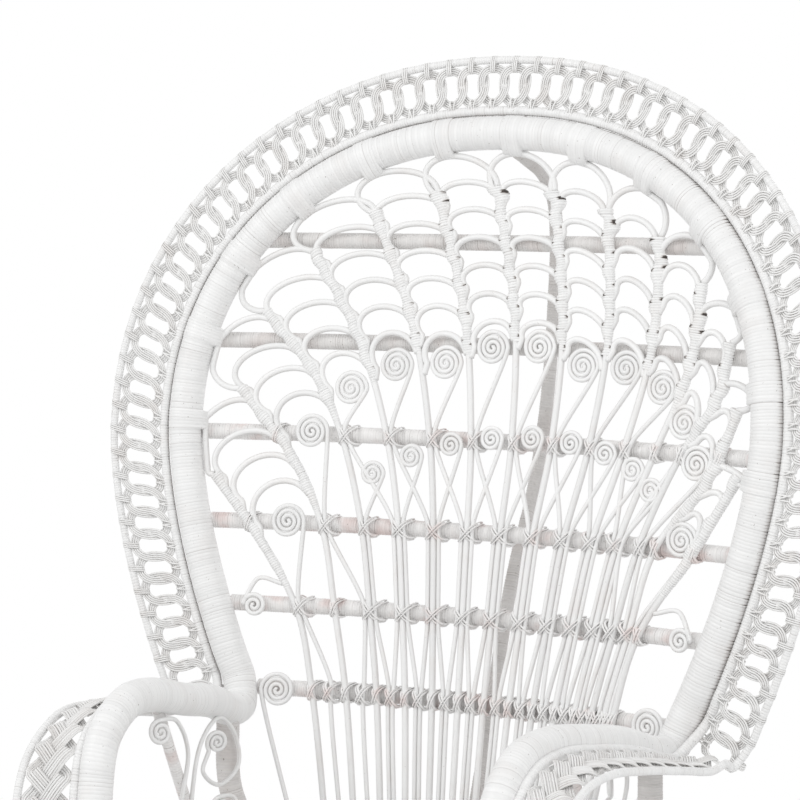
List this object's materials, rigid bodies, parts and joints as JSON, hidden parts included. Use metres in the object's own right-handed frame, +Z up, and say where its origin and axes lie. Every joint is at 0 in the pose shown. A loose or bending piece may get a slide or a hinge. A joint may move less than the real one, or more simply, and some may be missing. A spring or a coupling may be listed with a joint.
{
  "type": "peacock chair",
  "caption": "Free-standing rattan armchair with a tall balloon-shaped fan back, a looped cane border, scrolled arms, a woven seat and an hourglass base of ribs.",
  "frame": {"origin": "on the floor, under the middle of the whole chair's outline", "axes": "+Z up, the chair faces -Y, +X to the sitter's left"},
  "size_m": [0.9968, 0.8144, 1.4815],
  "materials": {
    "wrapped_poles": "semi-gloss white paint over cane-wrapped poles",
    "cane_ribs": "semi-gloss white paint over round cane",
    "woven_cane": "semi-gloss white paint over looped cane strands",
    "woven_panels": "semi-gloss white paint over woven cane"
  },
  "bodies": {
    "root": {"back_hoop": "wrapped_poles", "border_rim_inner": "wrapped_poles", "border_rim_outer": "wrapped_poles", "border_chain_1": "woven_cane", "border_chain_2": "woven_cane", "border_chain_3": "woven_cane", "border_chain_4": "woven_cane", "back_rail_1": "wrapped_poles", "back_rail_2": "wrapped_poles", "back_rail_3": "wrapped_poles", "back_rail_4": "wrapped_poles", "back_rail_5": "wrapped_poles", "back_rail_6": "wrapped_poles", "back_spine": "wrapped_poles", "fan_lane_left": "cane_ribs", "fan_column_01": "cane_ribs", "fan_column_02": "cane_ribs", "fan_column_03": "cane_ribs", "fan_column_04": "cane_ribs", "fan_column_05": "cane_ribs", "fan_column_06": "cane_ribs", "fan_column_07": "cane_ribs", "fan_column_08": "cane_ribs", "fan_column_09": "cane_ribs", "fan_column_10": "cane_ribs", "fan_column_11": "cane_ribs", "fan_column_12": "cane_ribs", "fan_column_13": "cane_ribs", "fan_scroll_right": "cane_ribs", "fan_scroll_left": "cane_ribs", "arm_pole_right": "wrapped_poles", "arm_rim_right": "wrapped_poles", "arm_band_right": "woven_cane", "arm_post_right": "wrapped_poles", "arm_brace_1_right": "wrapped_poles", "arm_brace_2_right": "wrapped_poles", "arm_scroll_1_right": "cane_ribs", "arm_scroll_2_right": "cane_ribs", "arm_scroll_3_right": "cane_ribs", "arm_pole_left": "wrapped_poles", "arm_rim_left": "wrapped_poles", "arm_band_left": "woven_cane", "arm_post_left": "wrapped_poles", "arm_brace_1_left": "wrapped_poles", "arm_brace_2_left": "wrapped_poles", "arm_scroll_1_left": "cane_ribs", "arm_scroll_2_left": "cane_ribs", "arm_scroll_3_left": "cane_ribs", "seat_ring": "wrapped_poles", "seat_weave": "woven_panels", "seat_bearer": "wrapped_poles", "floor_ring": "wrapped_poles", "base_ribs_back_right": "wrapped_poles", "base_ribs_front_right": "wrapped_poles", "base_ribs_back_left": "wrapped_poles", "base_ribs_front_left": "wrapped_poles", "waist_band": "woven_panels", "seat_apron": "woven_panels", "foot_band": "woven_panels"}
  },
  "joints": []
}
